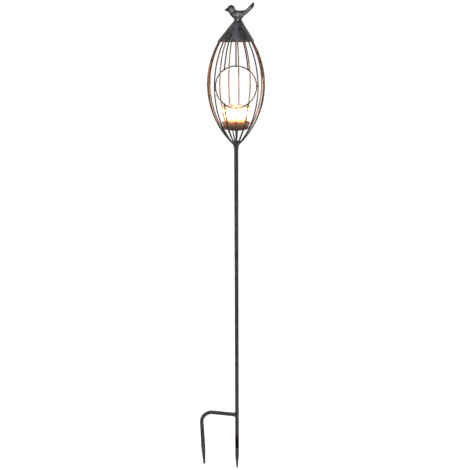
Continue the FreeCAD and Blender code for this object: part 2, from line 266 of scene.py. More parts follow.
class Look:
    """A material with one Principled shader, and short ways to add patterns to it."""

    def __init__(self, name):
        self.material = bpy.data.materials.new(name)
        self.material.use_nodes = True
        self.tree = self.material.node_tree
        self.tree.nodes.clear()
        self.out = self.node("ShaderNodeOutputMaterial")
        self.shader = self.node("ShaderNodeBsdfPrincipled")
        self.join(self.shader.outputs[0], self.out.inputs["Surface"])
        self.place = self.node("ShaderNodeTexCoord").outputs["Object"]

    def node(self, kind, **settings):
        made = self.tree.nodes.new(kind)
        for key, value in settings.items():
            setattr(made, key, value)
        return made

    def join(self, source, target):
        self.tree.links.new(source, target)

    def set(self, **values):
        for key, value in values.items():
            socket = self.shader.inputs[key.replace("_", " ")]
            if isinstance(value, bpy.types.NodeSocket):
                self.join(value, socket)
            else:
                socket.default_value = value

    def noise(self, size, detail=5.0, rough=0.6, warp=0.0, stretch=(1, 1, 1)):
        spread = self.node("ShaderNodeMapping")
        spread.inputs["Scale"].default_value = stretch
        self.join(self.place, spread.inputs["Vector"])
        made = self.node("ShaderNodeTexNoise")
        made.inputs["Scale"].default_value = 1.0 / size
        made.inputs["Detail"].default_value = detail
        made.inputs["Roughness"].default_value = rough
        made.inputs["Distortion"].default_value = warp
        self.join(spread.outputs[0], made.inputs["Vector"])
        return made.outputs["Fac"]

    def height(self):
        split = self.node("ShaderNodeSeparateXYZ")
        self.join(self.place, split.inputs[0])
        return split.outputs["Z"]

    def levels(self, value, from_low, from_high, to_low=0.0, to_high=1.0):
        made = self.node("ShaderNodeMapRange", clamp=True)
        self.join(value, made.inputs["Value"])
        for name, number in (
            ("From Min", from_low),
            ("From Max", from_high),
            ("To Min", to_low),
            ("To Max", to_high),
        ):
            made.inputs[name].default_value = number
        return made.outputs["Result"]

    def calc(self, kind, first, second):
        made = self.node("ShaderNodeMath", operation=kind)
        for socket, value in zip(made.inputs, (first, second)):
            if isinstance(value, bpy.types.NodeSocket):
                self.join(value, socket)
            else:
                socket.default_value = value
        return made.outputs[0]

    def ramp(self, value, stops):
        made = self.node("ShaderNodeValToRGB")
        points = made.color_ramp.elements
        while len(points) < len(stops):
            points.new(1.0)
        for point, (where, color) in zip(points, stops):
            point.position = where
            point.color = (*color, 1.0)
        self.join(value, made.inputs[0])
        return made.outputs["Color"]

    def blend(self, share, first, second):
        made = self.node("ShaderNodeMix", data_type="RGBA")
        self.join(share, made.inputs["Factor"])
        for socket, value in ((made.inputs[6], first), (made.inputs[7], second)):
            if isinstance(value, bpy.types.NodeSocket):
                self.join(value, socket)
            else:
                socket.default_value = (*value, 1.0)
        return made.outputs[2]

    def relief(self, *layers):
        """Bumps one over another, each as (height, distance in metres)."""
        normal = None
        for value, distance in layers:
            made = self.node("ShaderNodeBump")
            made.inputs["Strength"].default_value = 1.0
            made.inputs["Distance"].default_value = distance
            self.join(value, made.inputs["Height"])
            if normal:
                self.join(normal, made.inputs["Normal"])
            normal = made.outputs["Normal"]
        self.join(normal, self.shader.inputs["Normal"])


def iron(name, shades, patch, patch_range, gloss, shine=(0.06, 0.45), metal=0.12, relief=0.06 * MM,
         blot=3.4 * MM, run=(1, 1, 1)):
    """Antique iron: fine mottle between shades, broader patches of another colour, and grain."""
    look = Look(name)
    fine = look.noise(1.6 * MM, detail=8.0)
    broad = look.noise(11 * MM, detail=4.0, warp=0.6)
    blotch = look.noise(blot, detail=5.0, rough=0.62, stretch=run)
    both = look.calc("ADD", look.calc("MULTIPLY", fine, 0.4), look.calc("MULTIPLY", blotch, 0.6))
    mottle = look.ramp(both, list(zip((0.40, 0.50, 0.60), shades)))
    share = look.levels(broad, patch_range[0], patch_range[1])
    color = look.blend(share, mottle, patch)
    look.set(Base_Color=color, Metallic=metal, Roughness=look.levels(fine, 0.3, 0.7, gloss[1], gloss[0]),
             Specular_IOR_Level=look.levels(both, 0.42, 0.60, shine[0], shine[1]))
    look.relief((look.noise(0.5 * MM, detail=3.0), relief), (look.noise(6 * MM), relief * 3))
    return look, color, both


def cage_glare(look):
    """Strength of the candle's glare on the wires before the cup, which fades away from its middle."""
    split = look.node("ShaderNodeSeparateXYZ")
    look.join(look.place, split.inputs[0])
    front = look.levels(split.outputs["Y"], -0.022, -0.040)
    below = look.levels(split.outputs["Z"], SEAT_Z + 0.019, SEAT_Z + 0.032)
    above = look.levels(split.outputs["Z"], SEAT_Z + 0.062, SEAT_Z + 0.048)
    left = look.levels(split.outputs["X"], -0.020, -0.008)
    right = look.levels(split.outputs["X"], 0.020, 0.008)
    share = look.calc("MULTIPLY", look.calc("MULTIPLY", front, below), look.calc("MULTIPLY", above, left))
    return look.calc("MULTIPLY", look.calc("MULTIPLY", share, right), 0.85)


def make_looks():
    looks = {}
    shades = ((0.004, 0.004, 0.004), (0.016, 0.016, 0.017), (0.055, 0.055, 0.057))
    stake, color, rough = iron("stake_iron_look", shades, (0.030, 0.028, 0.026), (0.50, 0.66), (0.36, 0.58))
    joint_z = low_z("stake_rod")
    heated = stake.levels(stake.height(), joint_z + 0.016, joint_z + 0.007)
    scorched = stake.levels(stake.height(), joint_z + 0.006, joint_z + 0.003)
    tinted = stake.blend(heated, color, (0.034, 0.010, 0.008))
    stake.set(Base_Color=stake.blend(scorched, tinted, (0.003, 0.0026, 0.0022)),
              Specular_IOR_Level=stake.calc("MULTIPLY", stake.levels(rough, 0.42, 0.60, 0.06, 0.45),
                                            stake.levels(heated, 0.0, 1.0, 1.0, 0.15)))
    looks["stake_iron"] = stake.material

    tine, _, _ = iron("tine_iron_look", shades, (0.034, 0.033, 0.032), (0.50, 0.64), (0.36, 0.58))
    looks["tine_iron"] = tine.material

    spike, color, rough = iron("spike_iron_look", shades, (0.028, 0.024, 0.022), (0.52, 0.66), (0.40, 0.66))
    ragged = spike.calc("ADD", spike.height(), spike.levels(spike.noise(5 * MM), 0.0, 1.0, -0.004, 0.004))
    burnt = spike.calc("MULTIPLY", spike.levels(ragged, -0.092, -0.087), spike.levels(ragged, -0.052, -0.056))
    spike.set(Base_Color=spike.blend(burnt, color, (0.003, 0.0026, 0.0022)),
              Specular_IOR_Level=spike.calc("MULTIPLY", spike.levels(rough, 0.42, 0.60, 0.06, 0.45),
                                            spike.levels(burnt, 0.0, 1.0, 1.0, 0.04)))
    looks["spike_iron"] = spike.material

    weld, _, _ = iron("weld_tint_look", ((0.02, 0.006, 0.004), (0.08, 0.018, 0.012), (0.14, 0.040, 0.026)),
                   (0.03, 0.014, 0.012), (0.5, 0.6), (0.42, 0.7))
    looks["weld_tint"] = weld.material

    # The cage wires' warm brown is partly a real rusty finish and partly a painted candle glow; the front
    # wires of the same iron keep the grey shades.
    warm = ((0.008, 0.0055, 0.004), (0.032, 0.0175, 0.0105), (0.092, 0.048, 0.028))
    cage, _, _ = iron("cage_iron_look", warm, (0.150, 0.078, 0.044), (0.47, 0.65), (0.34, 0.56),
                      relief=0.05 * MM)
    looks["cage_iron"] = cage.material

    front, _, rough = iron("front_iron_look", shades, (0.034, 0.026, 0.021), (0.52, 0.68), (0.34, 0.56),
                           relief=0.05 * MM)
    front.set(Emission_Color=front.ramp(rough, [(0.40, (1.0, 0.78, 0.48)), (0.60, (1.0, 0.90, 0.70))]),
              Emission_Strength=cage_glare(front))
    looks["front_iron"] = front.material

    sheet = ((0.006, 0.006, 0.007), (0.021, 0.022, 0.026), (0.070, 0.074, 0.086))
    cap, color, _ = iron("cap_sheet_look", sheet, (0.012, 0.012, 0.014), (0.50, 0.60), (0.42, 0.64),
                         relief=0.04 * MM, blot=9 * MM, run=(1, 1, 0.35))
    rusty = cap.levels(cap.height(), CAP_BASE_Z + 0.009, CAP_BASE_Z)
    edge = cap.calc("MULTIPLY", rusty, cap.levels(cap.noise(5 * MM), 0.40, 0.60))
    # Painted light on the cap: a lighter band down the middle is a painted highlight, and the -X side is
    # darkened as painted shade.
    across = cap.node("ShaderNodeSeparateXYZ")
    cap.join(cap.place, across.inputs[0])
    wide = cap.levels(cap.height(), CAP_BASE_Z, CAP_TOP_Z, 0.040, 0.010)
    wavy = cap.levels(cap.noise(12 * MM), 0.3, 0.7, -0.2, 0.2)
    turned = cap.calc("ADD", cap.calc("DIVIDE", across.outputs["X"], wide), wavy)
    painted_shade_side = cap.levels(turned, -0.30, -0.72, 0.0, 0.82)
    painted_highlight_band = cap.calc("MULTIPLY", cap.levels(turned, -0.50, -0.05, 0.0, 0.5), cap.levels(turned, 0.50, 0.05))
    lit = cap.blend(painted_highlight_band, color, (0.085, 0.088, 0.104))
    shaded = cap.blend(painted_shade_side, lit, (0.006, 0.006, 0.006))
    cap.set(Base_Color=cap.blend(edge, shaded, (0.085, 0.055, 0.038)))
    looks["cap_sheet"] = cap.material

    cast = ((0.003, 0.003, 0.003), (0.010, 0.010, 0.0105), (0.040, 0.040, 0.041))
    bird, color, _ = iron("bird_iron_look", cast, (0.006, 0.006, 0.006), (0.50, 0.64), (0.40, 0.64),
                          (0.04, 0.32), relief=0.10 * MM)
    # Lighter grey on the raised cheek, wing, foot and tail: partly real wear on the casting, partly painted
    # highlight.
    rubbed_and_lit_share = bird.node("ShaderNodeAttribute", attribute_name="wear_and_highlight").outputs["Fac"]
    spots = bird.noise(3.2 * MM, detail=6.0, rough=0.7)
    speckled = bird.calc("MULTIPLY", rubbed_and_lit_share, bird.levels(spots, 0.40, 0.58))
    bright = bird.blend(speckled, color, (0.36, 0.36, 0.37))
    # The bird's head top is darker: the casting's own dark tone.
    dark_tone_and_shade = bird.levels(bird.height(), CAP_TOP_Z + 0.0290, CAP_TOP_Z + 0.0315)
    bird.set(Base_Color=bird.blend(dark_tone_and_shade, bright, (0.0035, 0.0035, 0.0035)))
    looks["bird_iron"] = bird.material

    patina = ((0.014, 0.008, 0.006), (0.050, 0.026, 0.015), (0.120, 0.062, 0.034))
    dish, color, _ = iron("dish_iron_look", patina, (0.040, 0.014, 0.012), (0.46, 0.60), (0.34, 0.56))
    streak = dish.noise(2.2 * MM, detail=5.0, stretch=(1, 1, 0.12))
    foot_z = low_z("candle_dish")
    # Painted shade: the dish's colour darkens towards its foot, in vertical streaks.
    low = dish.levels(dish.height(), foot_z + 0.0115, foot_z + 0.001)
    dark_tone_and_shade = dish.calc("MULTIPLY", low, dish.levels(streak, 0.36, 0.52, 0.55, 1.0))
    dish.set(Base_Color=dish.blend(dark_tone_and_shade, color, (0.008, 0.005, 0.004)))
    # Painted glow: the dish's outer wall glows orange, rising towards the rim in streaks, standing in for the
    # candle's light.
    rise = dish.levels(dish.height(), foot_z + 0.001, foot_z + 0.0155)
    painted_glow_streaks = dish.calc("MULTIPLY", rise, dish.levels(streak, 0.40, 0.56, 0.08, 1.0))
    glow = dish.calc("MULTIPLY", painted_glow_streaks, 0.27)
    dish.set(Emission_Color=dish.ramp(rise, [(0.35, (0.85, 0.24, 0.07)), (0.95, (0.95, 0.52, 0.26))]),
             Emission_Strength=glow)
    looks["dish_iron"] = dish.material

    looks["cup_glass"] = glass_look()
    looks["candle_wax"] = wax_look()
    looks["tin_foil"] = tin_look()
    looks["wick_cotton"] = wick_look()
    looks["flame"] = flame_look()
    return looks


def glass_look():
    """Pressed glass with a haze of soot and wax, which lets the candle's light through, and whose frosted
    part carries a painted glow.
    """
    look = Look("cup_glass_look")
    haze = look.noise(7 * MM, detail=6.0, warp=0.4)
    low = look.levels(look.height(), SEAT_Z + 0.030, SEAT_Z + 0.010)
    lip = look.levels(look.height(), SEAT_Z + 0.045, SEAT_Z + 0.050)
    ends = look.calc("ADD", look.calc("MULTIPLY", low, 0.28), look.calc("MULTIPLY", lip, 0.30))
    share = look.calc("ADD", look.levels(haze, 0.35, 0.70, 0.54, 0.68), ends)
    waver = look.levels(haze, 0.3, 0.7, -0.06, 0.06)
    rise = look.calc("ADD", look.levels(look.height(), SEAT_Z + 0.004, SEAT_Z + 0.052), waver)
    # Painted glow and shade: the frosted part's colour runs from dark brown at the foot to bright in the
    # middle and browner at the lip.
    painted_glow_tint = look.ramp(rise, [
        (0.0, (0.04, 0.018, 0.010)),
        (0.20, (0.17, 0.085, 0.045)),
        (0.34, (0.54, 0.41, 0.30)),
        (0.54, (0.94, 0.86, 0.74)),
        (0.82, (0.96, 0.88, 0.76)),
        (1.0, (0.60, 0.42, 0.28)),
    ])
    look.set(
        Base_Color=look.ramp(haze, [(0.3, (1.0, 0.95, 0.88)), (0.7, (0.98, 0.89, 0.78))]),
        Transmission_Weight=1.0,
        IOR=1.48,
        Roughness=look.levels(haze, 0.3, 0.7, 0.22, 0.40),
    )
    look.relief((look.noise(14 * MM, detail=1.0), 0.25 * MM))
    frost = look.node("ShaderNodeBsdfTranslucent")
    look.join(painted_glow_tint, frost.inputs["Color"])
    body = look.node("ShaderNodeMixShader")
    look.join(share, body.inputs[0])
    look.join(look.shader.outputs[0], body.inputs[1])
    look.join(frost.outputs[0], body.inputs[2])
    clear = look.node("ShaderNodeBsdfTransparent")
    look.join(look.ramp(haze, [(0.3, (0.94, 0.90, 0.84)), (0.7, (0.86, 0.80, 0.72))]), clear.inputs["Color"])
    through = look.node("ShaderNodeMixShader")
    look.join(look.node("ShaderNodeLightPath").outputs["Is Shadow Ray"], through.inputs[0])
    look.join(body.outputs[0], through.inputs[1])
    look.join(clear.outputs[0], through.inputs[2])
    look.join(through.outputs[0], look.out.inputs["Surface"])
    return look.material


def wax_look():
    look = Look("candle_wax_look")
    cloud = look.noise(5 * MM, detail=4.0)
    look.set(
        Base_Color=look.ramp(cloud, [(0.3, (0.86, 0.80, 0.68)), (0.7, (0.74, 0.64, 0.48))]),
        Subsurface_Weight=0.6,
        Subsurface_Scale=6 * MM,
        Roughness=look.levels(cloud, 0.3, 0.7, 0.18, 0.38),
    )
    look.shader.inputs["Subsurface Radius"].default_value = (1.0, 0.55, 0.25)
    look.relief((look.noise(3 * MM), 0.08 * MM))
    return look.material


def tin_look():
    look = Look("tin_foil_look")
    brushed = look.noise(2.0 * MM, detail=6.0, stretch=(1, 1, 6))
    look.set(
        Base_Color=look.ramp(brushed, [(0.3, (0.50, 0.49, 0.47)), (0.7, (0.72, 0.71, 0.69))]),
        Metallic=1.0,
        Roughness=look.levels(brushed, 0.3, 0.7, 0.22, 0.42),
    )
    look.relief((brushed, 0.05 * MM))
    return look.material


def wick_look():
    """Charred cotton with a glowing tip."""
    look = Look("wick_cotton_look")
    fibre = look.noise(0.5 * MM, detail=5.0)
    glow = look.levels(look.height(), WICK_TOP_Z - 0.0022, WICK_TOP_Z)
    look.set(
        Base_Color=look.ramp(fibre, [(0.3, (0.010, 0.008, 0.007)), (0.7, (0.060, 0.045, 0.035))]),
        Roughness=look.levels(fibre, 0.3, 0.7, 0.75, 0.95),
        Emission_Color=look.ramp(fibre, [(0.35, (0.9, 0.12, 0.01)), (0.65, (1.0, 0.35, 0.05))]),
        Emission_Strength=look.calc("MULTIPLY", glow, 4.0),
    )
    look.relief((fibre, 0.10 * MM))
    return look.material


def flame_look():
    """A flame, clear and bluish at the foot, white in the middle and yellow towards the tip."""
    look = Look("flame_look")
    rise = look.levels(look.height(), WICK_TOP_Z - 0.004, WICK_TOP_Z + 0.024)
    flicker = look.calc("ADD", rise, look.levels(look.noise(6 * MM), 0.3, 0.7, -0.05, 0.05))
    color = look.ramp(flicker, [
        (0.0, (0.35, 0.30, 0.55)),
        (0.16, (1.0, 0.62, 0.24)),
        (0.45, (1.0, 0.86, 0.55)),
        (1.0, (1.0, 0.60, 0.18)),
    ])
    look.set(
        Base_Color=color,
        Roughness=look.levels(flicker, 0.0, 1.0, 0.5, 0.7),
        Emission_Color=color,
        Emission_Strength=look.levels(flicker, 0.0, 0.3, 1.5, 6.0),
    )
    return look.material


# --- stake ----------------------------------------------------------------

def make_stake(looks):
    low, high = low_z("stake_rod"), high_z("stake_rod")
    bm = bmesh.new()
    chamfer = 0.5 * MM
    profile = finer([(0, low), (ROD_R - chamfer, low), (ROD_R, low + chamfer), (ROD_R, high - MM),
                     (ROD_R - MM, high), (0, high)], 3 * MM)
    add_lathe(bm, profile, 48)
    dent(bm, 0.07 * MM, 14 * MM, 1)
    dent(bm, 0.03 * MM, 2.5 * MM, 2)
    piece("rolled_stake", bm, "stand", looks["stake_iron"], ["stake_rod"])

    low, high = low_z("ground_spike"), high_z("ground_spike")
    taper = low + 38 * MM
    bm = bmesh.new()
    profile = finer([(0, low), (1.0 * MM, low), (2.2 * MM, low + 1.2 * MM), (ROD_R, taper),
                     (ROD_R, high - chamfer), (ROD_R - chamfer, high), (0, high)], 2 * MM)

    def forged(turn, r, z):
        """The point is drawn out to a soft square."""
        share = max(0.0, min(1.0, (taper - z) / (30 * MM)))
        return r * (1.0 - 0.03 * share * (1.0 - math.cos(4 * turn)))

    add_lathe(bm, profile, 48, flutes=forged)
    dent(bm, 0.16 * MM, 7 * MM, 3)
    dent(bm, 0.05 * MM, 2 * MM, 4)
    piece("forged_spike", bm, "stand", looks["spike_iron"], ["ground_spike"])

    bm = bmesh.new()
    middle = (ROD_R - 0.5 * MM, high)
    add_lathe(bm, arc(middle, 0.6 * MM, 0, 337.5, 15), 96, closed=True)
    dent(bm, 0.16 * MM, 1.6 * MM, 5)
    piece("spike_joint_bead", bm, "stand", looks["weld_tint"], ["spike_weld"])


def fork_path():
    """Centre line of the side tine, from the stake outwards and down, and its outward direction."""
    out = Vector((math.cos(FORK_AZIMUTH), math.sin(FORK_AZIMUTH), 0))
    arm_z = high_z("fork_tine") - ROD_R
    span = 95.0 * MM
    bend_at = span - FORK_BEND_R
    path = [out * r + UP * arm_z for r in [4.0 * MM + (bend_at - 4.0 * MM) * k / 24 for k in range(25)]]
    hub = out * bend_at + UP * (arm_z - FORK_BEND_R)
    whole = math.pi / 2 + FORK_LEAN
    for k in range(1, 25):
        turn = whole * k / 24
        path.append(hub + (out * math.sin(turn) + UP * math.cos(turn)) * FORK_BEND_R)
    down = out * math.cos(whole) - UP * math.sin(whole)
    tip_z = low_z("fork_tine")
    start = path[-1].copy()
    length = (start.z - tip_z - 1.0 * MM) / -down.z
    path += [start + down * (length * k / 50) for k in range(1, 51)]
    return path, out


def make_fork(looks):
    path, out = fork_path()
    side = UP.cross(out)
    taper_z, shoulder_r, tip_r = -98.0 * MM, 5.7 * MM, 2.8 * MM
    leg_top = path[48].z
    radii = []
    for k, spot in enumerate(path):
        if k <= 48:
            radii.append(ROD_R)
        elif spot.z > taper_z:
            radii.append(ROD_R + (shoulder_r - ROD_R) * (leg_top - spot.z) / (leg_top - taper_z))
        else:
            radii.append(shoulder_r + (tip_r - shoulder_r) * (taper_z - spot.z) / (taper_z - path[-1].z))
    bm = bmesh.new()
    add_tube(bm, path, lambda share: radii[round(share * (len(radii) - 1))], lambda spot: side, sides=40)
    dent(bm, 0.10 * MM, 9 * MM, 6)
    dent(bm, 0.04 * MM, 2.2 * MM, 7)
    piece("bent_tine", bm, "stand", looks["tine_iron"], ["fork_tine"])

    bm = bmesh.new()
    arm_z = high_z("fork_tine") - ROD_R
    for k in range(14):
        turn = math.tau * k / 14
        around = side * math.cos(turn) + UP * math.sin(turn)
        hug = ROD_R * math.sqrt(max(0.0, 1.0 - 0.72 * math.cos(turn) ** 2))
        spot = out * (hug + 0.6 * MM) + around * (ROD_R - 0.2 * MM) + UP * arm_z
        heading = UP * math.cos(turn) - side * math.sin(turn)
        add_lump(bm, spot, (2.0 * MM, 1.7 * MM, 1.7 * MM), k + 20, heading)
    piece("tine_weld_beads", bm, "stand", looks["tine_iron"], ["fork_weld"])


# --- cage -----------------------------------------------------------------

def pod_radius(z):
    return POD_R - POD_ARC_R + math.sqrt(POD_ARC_R ** 2 - (z - POD_Z) ** 2)


def wire_direction(index):
    turn = math.radians(-90.0 + WIRE_SPREAD[index])
    return Vector((math.cos(turn), math.sin(turn), 0))


def wire_point(index, z):
    return wire_direction(index) * pod_radius(z) + UP * z


def ring_point(turn):
    x = RING_R * math.cos(turn)
    z = RING_Z + RING_R * math.sin(turn)
    return Vector((x, -math.sqrt(pod_radius(z) ** 2 - x ** 2), z))


def add_wire(bm, index, low, high):
    """A bowed wire that was bent by hand, so it wanders a little from its arc."""
    out = wire_direction(index)
    aside = UP.cross(out)
    count = max(12, round((high - low) / (3 * MM)))
    path = []
    for k in range(count + 1):
        z = low + (high - low) * k / count
        hold = math.sin(math.pi * k / count)
        spot = wire_point(index, z)
        spot += out * (0.30 * MM * hold * wander(spot, 60 * MM, index + 30))
        spot += aside * (0.45 * MM * hold * wander(spot, 70 * MM, index + 60))
        path.append(spot)
    add_tube(bm, path, lambda share: WIRE_R, lambda spot: aside)
    dent(bm, 0.05 * MM, 3 * MM, index + 90)


def make_wires(looks):
    for index in range(FIRST_FULL_WIRE, WIRE_COUNT - FIRST_FULL_WIRE + 1):
        node = "cage_wire_%d" % (index - FIRST_FULL_WIRE + 1)
        bm = bmesh.new()
        add_wire(bm, index, low_z(node) + 0.3 * MM, high_z(node) - 0.3 * MM)
        faces_front = index in (FIRST_FULL_WIRE, WIRE_COUNT - FIRST_FULL_WIRE)
        look = looks["front_iron" if faces_front else "cage_iron"]
        piece("bowed_wire_%d" % (index - FIRST_FULL_WIRE + 1), bm, "stand", look, [node])
    for index, side in ((-1, "left"), (0, "middle"), (1, "right")):
        for half in ("upper", "lower"):
            node = "%s_wire_%s" % (half, side)
            low, high = low_z(node), high_z(node)
            bm = bmesh.new()
            add_wire(bm, index, low + 0.3 * MM, high - 0.3 * MM)
            piece("short_wire_%s_%s" % (half, side), bm, "stand", looks["front_iron"], [node])


def make_ring(looks):
    count = 160
    path = [ring_point(math.tau * k / count) for k in range(count)]
    path = [spot + Vector((0, 0.2 * MM * wander(spot, 30 * MM, 71), 0)) for spot in path]
    bm = bmesh.new()
    add_tube(bm, path, lambda share: WIRE_R, lambda spot: Vector((0, 1, 0)), closed=True)
    dent(bm, 0.05 * MM, 3 * MM, 72)
    piece("ring_of_wire", bm, "stand", looks["front_iron"], ["opening_ring"])

    bm = bmesh.new()
    for index, side in ((-1, "left"), (0, "middle"), (1, "right")):
        for half, end in (("upper", low_z), ("lower", high_z)):
            spot = wire_point(index, end("%s_wire_%s" % (half, side)))
            add_lump(bm, spot, (2.6 * MM, 2.2 * MM, 2.1 * MM), index + 80 + len(half + side), UP)
    for index, turn in ((2, 0.0), (-2, math.pi)):
        start, end = ring_point(turn), wire_point(index, RING_Z)
        along = (end - start).normalized()
        add_lump(bm, (start + end) / 2, (2.3 * MM, 1.5 * MM, 2.2 * MM), index + 95, along)
    piece("ring_weld_beads", bm, "stand", looks["front_iron"], ["ring_welds"])


def make_neck(looks):
    bm = bmesh.new()
    base = low_z("neck_weld")
    outline = [(5.0, 0.0), (5.5, 4.0), (6.1, 8.5), (7.6, 12.5), (10.6, 16.5), (12.8, 19.2), (9.5, 19.5),
               (5.5, 17.6), (2.0, 17.4)]
    profile = curved([(r * MM, base + z * MM) for r, z in outline], 8)

    def gathered(turn, r, z):
        """The metal stands proud over each wire's foot."""
        share = max(0.0, min(1.0, (z - base - 6 * MM) / (8 * MM)))
        gaps = [abs((math.degrees(turn) + 90 - spread + 180) % 360 - 180) for spread in WIRE_SPREAD]
        return r + 0.8 * MM * share * (math.exp(-(min(gaps) / 6.0) ** 2) - 0.5)

    add_lathe(bm, profile + [(0, profile[-1][1])], 180, flutes=gathered)
    dent(bm, 0.35 * MM, 3.2 * MM, 8)
    dent(bm, 0.12 * MM, 1.1 * MM, 9)
    piece("neck_gathering", bm, "stand", looks["front_iron"], ["neck_weld"])


# --- roof -----------------------------------------------------------------

def lean_at(z):
    """How far the hand-made cone has moved towards +X at a height."""
    return CAP_LEAN * max(0.0, min(1.0, (z - CAP_BASE_Z) / (CAP_TOP_Z - CAP_BASE_Z)))


def make_cap(looks):
    slope = (CAP_BASE_R - CAP_TOP_R) / (CAP_TOP_Z - CAP_BASE_Z)
    inset = CAP_SHEET * math.hypot(1, slope)
    lip = 0.3 * MM
    profile = finer([(CAP_BASE_R - inset + lip, CAP_BASE_Z), (CAP_BASE_R - lip, CAP_BASE_Z),
                     (CAP_BASE_R, CAP_BASE_Z + lip), (CAP_TOP_R, CAP_TOP_Z - lip),
                     (CAP_TOP_R - lip, CAP_TOP_Z), (CAP_TOP_R - inset, CAP_TOP_Z),
                     (CAP_BASE_R - inset, CAP_BASE_Z + lip)], 1.2 * MM)
    bm = bmesh.new()
    add_lathe(bm, profile, 200, closed=True)
    for v in bm.verts:
        v.co.x += lean_at(v.co.z)

    def hammered(spot):
        return 1.0 if spot.z > CAP_BASE_Z + 0.5 * MM else 0.35

    dent(bm, 0.26 * MM, 11 * MM, 10, hammered)
    dent(bm, 0.10 * MM, 3 * MM, 11, hammered)
    piece("hammered_cap", bm, "stand", looks["cap_sheet"], ["cap_cone"])

    bm = bmesh.new()
    low, high = Vector((0, CAP_BASE_R, CAP_BASE_Z)), Vector((CAP_LEAN, CAP_TOP_R, CAP_TOP_Z))
    path = [low.lerp(high, 0.01 + 0.98 * k / 60) for k in range(61)]
    path = [spot + Vector((0.25 * MM * wander(spot, 9 * MM, 12), 0, 0)) for spot in path]
    add_tube(bm, path, lambda share: 1.1 * MM, lambda spot: Vector((1, 0, 0)))
    dent(bm, 0.22 * MM, 1.8 * MM, 13)
    piece("cap_seam_bead", bm, "stand", looks["cap_sheet"], ["cap_seam"])

    bm = bmesh.new()
    for index in range(WIRE_COUNT):
        top = high_z("cage_wire_6") - 1.2 * MM
        spot = wire_point(index, top) - wire_direction(index) * (0.6 * MM)
        add_lump(bm, spot, (2.0 * MM, 1.8 * MM, 1.8 * MM), index + 110, wire_direction(index))
    piece("wire_end_beads", bm, "stand", looks["cap_sheet"], ["cap_welds"])


# Bird sections, in millimetres: place along it, top and bottom above the cap, half its width
BODY = [
    (-19.8, 20.6, 18.0, 2.0), (-19.0, 22.4, 16.2, 4.0), (-17.5, 24.4, 13.8, 5.6),
    (-15.0, 27.0, 10.8, 7.0), (-12.0, 29.4, 8.0, 7.9), (-9.0, 28.2, 5.6, 8.4),
    (-6.0, 25.6, 3.6, 8.6), (-2.0, 23.6, 2.6, 8.8), (3.0, 23.0, 2.8, 8.6),
    (8.0, 23.0, 5.0, 7.9), (10.7, 23.1, 7.4, 7.1), (14.0, 23.4, 10.8, 5.9),
    (17.5, 24.8, 13.4, 5.0), (21.0, 28.0, 16.4, 4.5), (25.0, 31.9, 20.0, 4.6),
    (29.0, 35.7, 23.8, 4.9), (33.0, 39.7, 27.8, 5.2), (35.0, 41.0, 30.0, 4.9),
    (35.9, 39.6, 33.0, 3.4),
]


def on_cap(spot):
    """A point of the bird, in metres in the row frame."""
    return Vector(spot) * MM + Vector((CAP_LEAN, 0, CAP_TOP_Z))


def add_ellipsoid(bm, middle, radii, pitch=0.0):
    """An ellipsoid in the bird's millimetres, tipped about the Y axis by pitch degrees."""
    made = bmesh.ops.create_icosphere(bm, subdivisions=4, radius=1.0)["verts"]
    tip = Matrix.Rotation(math.radians(pitch), 3, "Y")
    for v in made:
        v.co = on_cap(Vector(middle) + tip @ Vector([v.co[k] * radii[k] for k in range(3)]))


def bird_lumps():
    bm = bmesh.new()
    loops = []
    for x, top, bottom, half in BODY:
        loop = []
        for k in range(32):
            turn = math.tau * k / 32
            z = (top + bottom) / 2 + (top - bottom) / 2 * math.sin(turn)
            loop.append(bm.verts.new(on_cap((x, half * math.cos(turn), z))))
        loops.append(loop)
    for first, second in zip(loops, loops[1:]):
        bridge(bm, first, second)
    for loop in (loops[0], loops[-1]):
        bm.faces.new(loop)
    add_ellipsoid(bm, (-14.6, 0, 26.7), (8.0, 6.6, 8.1))
    beak = [(-18.3, 25.9, 7.2, 5.6), (-21.0, 25.3, 5.7, 4.4), (-25.0, 24.6, 3.3, 2.6),
            (-28.6, 23.9, 1.4, 1.1), (-30.0, 23.7, 0.6, 0.5)]
    loops = []
    for x, z, tall, wide in beak:
        turns = [math.tau * k / 24 for k in range(24)]
        loops.append([bm.verts.new(on_cap((x, wide * math.cos(t), z + tall * math.sin(t)))) for t in turns])
    for first, second in zip(loops, loops[1:]):
        bridge(bm, first, second)
    for loop in (loops[0], loops[-1]):
        bm.faces.new(loop)
    for side in (-1, 1):
        add_ellipsoid(bm, (3.5, 6.6 * side, 15.8), (14.5, 2.6, 5.4), -9.0)
        add_ellipsoid(bm, (-17.6, 4.9 * side, 28.4), (1.5, 1.3, 1.5))
    foot = [(0, -3.8), (7.2, -3.8), (7.2, 0.0), (8.6, 0.2), (8.4, 3.0), (8.9, 8.0), (7.0, 13.0), (0, 13.0)]
    before = len(bm.verts)
    add_lathe(bm, finer([(r * MM, CAP_TOP_Z + z * MM) for r, z in foot], 1.5 * MM), 64)
    bm.verts.ensure_lookup_table()
    for v in bm.verts[before:]:
        v.co.x += CAP_LEAN
    bmesh.ops.recalc_face_normals(bm, faces=bm.faces)
    return bm


def feather_depth(x, y, z):
    """Depth in millimetres of the lines cut into the casting at a point of the bird."""
    depth = 0.0
    rise = z - (15.8 + 0.16 * (x - 3.5))
    if abs(y) > 4.0 and ((x - 3.5) / 15.0) ** 2 + (rise / 5.6) ** 2 < 1.0:
        depth += 0.22 * max(0.0, math.sin(2.6 * rise + 0.12 * x)) ** 2
        if x < 2.0:
            depth += 0.16 * max(0.0, math.sin(1.6 * x + 1.2 * rise)) ** 4
    if x > 16.0:
        depth += 0.26 * max(0.0, math.cos(2.1 * y)) ** 6
    if x < -20.0:
        depth += 0.35 * math.exp(-((z - (23.5 + 0.14 * (x + 30))) / 0.45) ** 2)
    eye = math.hypot(x + 17.6, z - 28.4)
    if abs(y) > 3.0:
        depth += 0.40 * math.exp(-((eye - 1.9) / 0.5) ** 2)
    return depth


